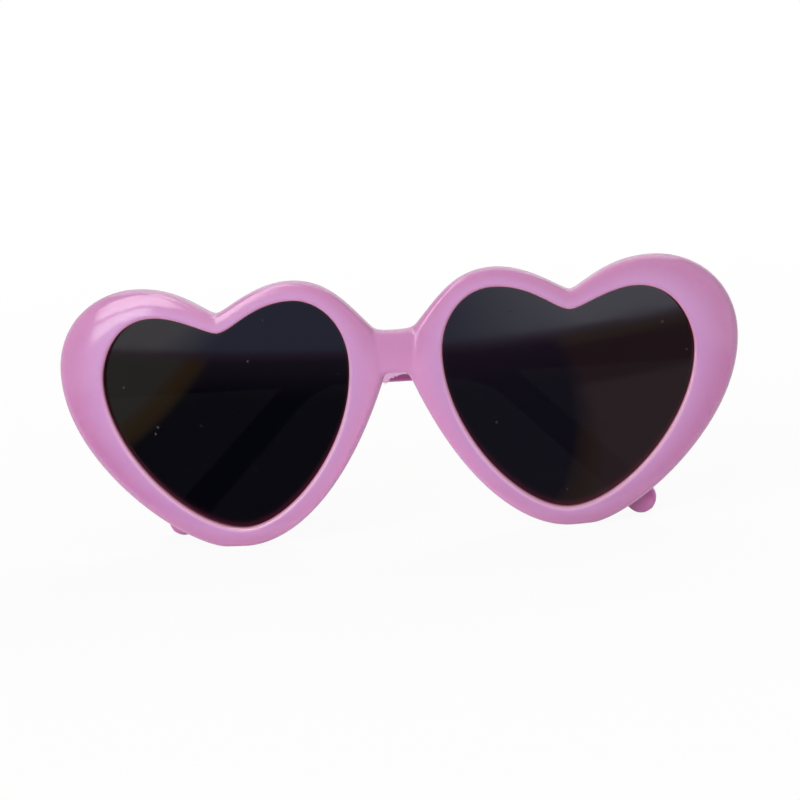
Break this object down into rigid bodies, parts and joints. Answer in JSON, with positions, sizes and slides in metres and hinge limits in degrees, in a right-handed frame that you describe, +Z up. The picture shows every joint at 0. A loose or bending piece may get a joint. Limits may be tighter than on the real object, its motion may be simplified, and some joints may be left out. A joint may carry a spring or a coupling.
{
  "type": "pet sunglasses",
  "caption": "Heart-shaped sunglasses for a cat or small dog: a moulded front with smoked lenses and temples that fold flat behind it on screwed metal hinges.",
  "frame": {"origin": "on the standing surface, below the middle of the folded pair", "axes": "+X along the front to the viewer's right, +Y from the front to the back, +Z up"},
  "size_m": [0.0852, 0.0146, 0.0328],
  "materials": {
    "frame_plastic": "glossy moulded orchid-pink plastic",
    "smoked_lens": "polished near-black smoked plastic",
    "hinge_metal": "satin nickel-plated"
  },
  "bodies": {
    "front": {"front_frame": "frame_plastic", "left_lens": "smoked_lens", "right_lens": "smoked_lens", "left_front_hinge_leaf": "hinge_metal", "right_front_hinge_leaf": "hinge_metal", "left_hinge_screw": "hinge_metal", "right_hinge_screw": "hinge_metal"},
    "left_arm": {"left_temple": "frame_plastic", "left_temple_hinge_leaf": "hinge_metal"},
    "right_arm": {"right_temple": "frame_plastic", "right_temple_hinge_leaf": "hinge_metal"}
  },
  "joints": [
    {"name": "left_temple_hinge", "type": "hinge", "parent": "front", "child": "left_arm", "pos_m": [-0.03855, 0.00234, 0.02165], "axis": [0, 0, 1], "range_deg": [0, 93.37]},
    {"name": "right_temple_hinge", "type": "hinge", "parent": "front", "child": "right_arm", "pos_m": [0.03855, 0.00234, 0.02165], "axis": [0, 0, -1], "range_deg": [0, 88.64]}
  ]
}
